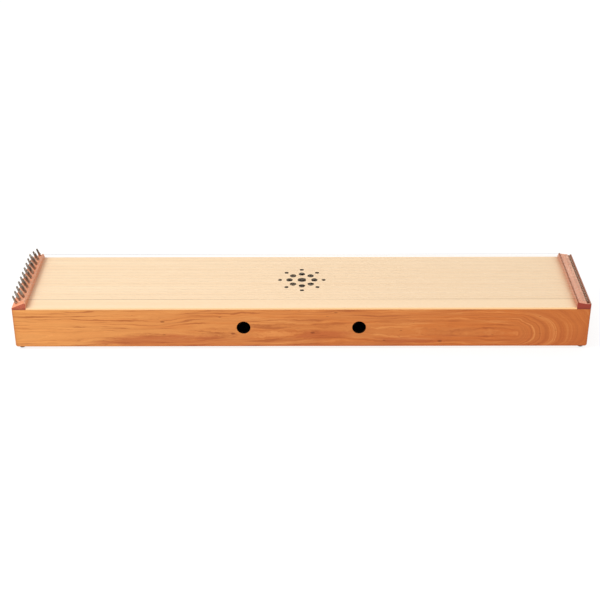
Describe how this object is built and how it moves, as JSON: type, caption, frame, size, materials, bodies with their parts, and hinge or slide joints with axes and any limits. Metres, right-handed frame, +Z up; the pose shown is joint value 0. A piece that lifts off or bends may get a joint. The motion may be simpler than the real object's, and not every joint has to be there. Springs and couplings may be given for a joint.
{
  "type": "monochord zither",
  "caption": "Long shallow wooden box zither with equal parallel steel strings between a rail of tuning pins and a rail of hitch pins, a pierced rosette and round sound holes in one side.",
  "frame": {"origin": "centre of the box's footprint, on the surface that the feet stand on", "axes": "+X along the strings from the tuning pins to the hitch pins, +Y from the side with the sound holes to the plain side, +Z up"},
  "size_m": [1.22, 0.238, 0.1271],
  "materials": {
    "side_wood": "satin oiled cherry with wavy figure",
    "soundboard": "matt straight-grained spruce",
    "bottom_ply": "matt birch plywood",
    "rail_wood": "satin oiled pinkish-red hardwood",
    "block_wood": "plain beech",
    "lining_wood": "plain spruce",
    "saddle_steel": "drawn steel rod",
    "string_steel": "bright music wire",
    "pin_steel": "dull nickel-plated steel",
    "hitch_steel": "plated steel",
    "screw_steel": "zinc-plated steel",
    "foot_rubber": "matt black rubber"
  },
  "bodies": {
    "root": {"front_side": "side_wood", "back_side": "side_wood", "left_end": "side_wood", "right_end": "side_wood", "soundboard": "soundboard", "bottom_plate": "bottom_ply", "tuning_rail": "rail_wood", "hitch_rail": "rail_wood", "left_saddle": "saddle_steel", "right_saddle": "saddle_steel", "pin_block": "block_wood", "hitch_block": "block_wood", "front_top_lining": "lining_wood", "back_top_lining": "lining_wood", "front_bottom_lining": "lining_wood", "back_bottom_lining": "lining_wood", "soundboard_braces": "lining_wood", "bottom_braces": "lining_wood", "feet": "foot_rubber", "foot_screws": "screw_steel", "hitch_pins": "hitch_steel", "strings": "string_steel"},
    "pin_01": {"tuning_pin_01": "pin_steel"},
    "pin_02": {"tuning_pin_02": "pin_steel"},
    "pin_03": {"tuning_pin_03": "pin_steel"},
    "pin_04": {"tuning_pin_04": "pin_steel"},
    "pin_05": {"tuning_pin_05": "pin_steel"},
    "pin_06": {"tuning_pin_06": "pin_steel"},
    "pin_07": {"tuning_pin_07": "pin_steel"},
    "pin_08": {"tuning_pin_08": "pin_steel"},
    "pin_09": {"tuning_pin_09": "pin_steel"},
    "pin_10": {"tuning_pin_10": "pin_steel"},
    "pin_11": {"tuning_pin_11": "pin_steel"},
    "pin_12": {"tuning_pin_12": "pin_steel"},
    "pin_13": {"tuning_pin_13": "pin_steel"},
    "pin_14": {"tuning_pin_14": "pin_steel"},
    "pin_15": {"tuning_pin_15": "pin_steel"},
    "pin_16": {"tuning_pin_16": "pin_steel"},
    "pin_17": {"tuning_pin_17": "pin_steel"},
    "pin_18": {"tuning_pin_18": "pin_steel"},
    "pin_19": {"tuning_pin_19": "pin_steel"},
    "pin_20": {"tuning_pin_20": "pin_steel"},
    "pin_21": {"tuning_pin_21": "pin_steel"},
    "pin_22": {"tuning_pin_22": "pin_steel"},
    "pin_23": {"tuning_pin_23": "pin_steel"},
    "pin_24": {"tuning_pin_24": "pin_steel"},
    "pin_25": {"tuning_pin_25": "pin_steel"},
    "pin_26": {"tuning_pin_26": "pin_steel"},
    "pin_27": {"tuning_pin_27": "pin_steel"},
    "pin_28": {"tuning_pin_28": "pin_steel"},
    "pin_29": {"tuning_pin_29": "pin_steel"},
    "pin_30": {"tuning_pin_30": "pin_steel"}
  },
  "joints": [
    {"name": "pin_01_turn", "type": "hinge", "parent": "root", "child": "pin_01", "pos_m": [-0.602, -0.10235, 0.10339], "axis": [0.342, 0, -0.9397], "range_deg": [-90, 45]},
    {"name": "pin_02_turn", "type": "hinge", "parent": "root", "child": "pin_02", "pos_m": [-0.595, -0.0951, 0.10636], "axis": [0.342, 0, -0.9397], "range_deg": [-90, 45]},
    {"name": "pin_03_turn", "type": "hinge", "parent": "root", "child": "pin_03", "pos_m": [-0.588, -0.08785, 0.10933], "axis": [0.342, 0, -0.9397], "range_deg": [-90, 45]},
    {"name": "pin_04_turn", "type": "hinge", "parent": "root", "child": "pin_04", "pos_m": [-0.602, -0.0806, 0.10339], "axis": [0.342, 0, -0.9397], "range_deg": [-90, 45]},
    {"name": "pin_05_turn", "type": "hinge", "parent": "root", "child": "pin_05", "pos_m": [-0.595, -0.07335, 0.10636], "axis": [0.342, 0, -0.9397], "range_deg": [-90, 45]},
    {"name": "pin_06_turn", "type": "hinge", "parent": "root", "child": "pin_06", "pos_m": [-0.588, -0.0661, 0.10933], "axis": [0.342, 0, -0.9397], "range_deg": [-90, 45]},
    {"name": "pin_07_turn", "type": "hinge", "parent": "root", "child": "pin_07", "pos_m": [-0.602, -0.05885, 0.10339], "axis": [0.342, 0, -0.9397], "range_deg": [-90, 45]},
    {"name": "pin_08_turn", "type": "hinge", "parent": "root", "child": "pin_08", "pos_m": [-0.595, -0.0516, 0.10636], "axis": [0.342, 0, -0.9397], "range_deg": [-90, 45]},
    {"name": "pin_09_turn", "type": "hinge", "parent": "root", "child": "pin_09", "pos_m": [-0.588, -0.04435, 0.10933], "axis": [0.342, 0, -0.9397], "range_deg": [-90, 45]},
    {"name": "pin_10_turn", "type": "hinge", "parent": "root", "child": "pin_10", "pos_m": [-0.602, -0.0371, 0.10339], "axis": [0.342, 0, -0.9397], "range_deg": [-90, 45]},
    {"name": "pin_11_turn", "type": "hinge", "parent": "root", "child": "pin_11", "pos_m": [-0.595, -0.02985, 0.10636], "axis": [0.342, 0, -0.9397], "range_deg": [-90, 45]},
    {"name": "pin_12_turn", "type": "hinge", "parent": "root", "child": "pin_12", "pos_m": [-0.588, -0.0226, 0.10933], "axis": [0.342, 0, -0.9397], "range_deg": [-90, 45]},
    {"name": "pin_13_turn", "type": "hinge", "parent": "root", "child": "pin_13", "pos_m": [-0.602, -0.01535, 0.10339], "axis": [0.342, 0, -0.9397], "range_deg": [-90, 45]},
    {"name": "pin_14_turn", "type": "hinge", "parent": "root", "child": "pin_14", "pos_m": [-0.595, -0.0081, 0.10636], "axis": [0.342, 0, -0.9397], "range_deg": [-90, 45]},
    {"name": "pin_15_turn", "type": "hinge", "parent": "root", "child": "pin_15", "pos_m": [-0.588, -0.00085, 0.10933], "axis": [0.342, 0, -0.9397], "range_deg": [-90, 45]},
    {"name": "pin_16_turn", "type": "hinge", "parent": "root", "child": "pin_16", "pos_m": [-0.602, 0.0064, 0.10339], "axis": [0.342, 0, -0.9397], "range_deg": [-90, 45]},
    {"name": "pin_17_turn", "type": "hinge", "parent": "root", "child": "pin_17", "pos_m": [-0.595, 0.01365, 0.10636], "axis": [0.342, 0, -0.9397], "range_deg": [-90, 45]},
    {"name": "pin_18_turn", "type": "hinge", "parent": "root", "child": "pin_18", "pos_m": [-0.588, 0.0209, 0.10933], "axis": [0.342, 0, -0.9397], "range_deg": [-90, 45]},
    {"name": "pin_19_turn", "type": "hinge", "parent": "root", "child": "pin_19", "pos_m": [-0.602, 0.02815, 0.10339], "axis": [0.342, 0, -0.9397], "range_deg": [-90, 45]},
    {"name": "pin_20_turn", "type": "hinge", "parent": "root", "child": "pin_20", "pos_m": [-0.595, 0.0354, 0.10636], "axis": [0.342, 0, -0.9397], "range_deg": [-90, 45]},
    {"name": "pin_21_turn", "type": "hinge", "parent": "root", "child": "pin_21", "pos_m": [-0.588, 0.04265, 0.10933], "axis": [0.342, 0, -0.9397], "range_deg": [-90, 45]},
    {"name": "pin_22_turn", "type": "hinge", "parent": "root", "child": "pin_22", "pos_m": [-0.602, 0.0499, 0.10339], "axis": [0.342, 0, -0.9397], "range_deg": [-90, 45]},
    {"name": "pin_23_turn", "type": "hinge", "parent": "root", "child": "pin_23", "pos_m": [-0.595, 0.05715, 0.10636], "axis": [0.342, 0, -0.9397], "range_deg": [-90, 45]},
    {"name": "pin_24_turn", "type": "hinge", "parent": "root", "child": "pin_24", "pos_m": [-0.588, 0.0644, 0.10933], "axis": [0.342, 0, -0.9397], "range_deg": [-90, 45]},
    {"name": "pin_25_turn", "type": "hinge", "parent": "root", "child": "pin_25", "pos_m": [-0.602, 0.07165, 0.10339], "axis": [0.342, 0, -0.9397], "range_deg": [-90, 45]},
    {"name": "pin_26_turn", "type": "hinge", "parent": "root", "child": "pin_26", "pos_m": [-0.595, 0.0789, 0.10636], "axis": [0.342, 0, -0.9397], "range_deg": [-90, 45]},
    {"name": "pin_27_turn", "type": "hinge", "parent": "root", "child": "pin_27", "pos_m": [-0.588, 0.08615, 0.10933], "axis": [0.342, 0, -0.9397], "range_deg": [-90, 45]},
    {"name": "pin_28_turn", "type": "hinge", "parent": "root", "child": "pin_28", "pos_m": [-0.602, 0.0934, 0.10339], "axis": [0.342, 0, -0.9397], "range_deg": [-90, 45]},
    {"name": "pin_29_turn", "type": "hinge", "parent": "root", "child": "pin_29", "pos_m": [-0.595, 0.10065, 0.10636], "axis": [0.342, 0, -0.9397], "range_deg": [-90, 45]},
    {"name": "pin_30_turn", "type": "hinge", "parent": "root", "child": "pin_30", "pos_m": [-0.588, 0.1079, 0.10933], "axis": [0.342, 0, -0.9397], "range_deg": [-90, 45]}
  ]
}
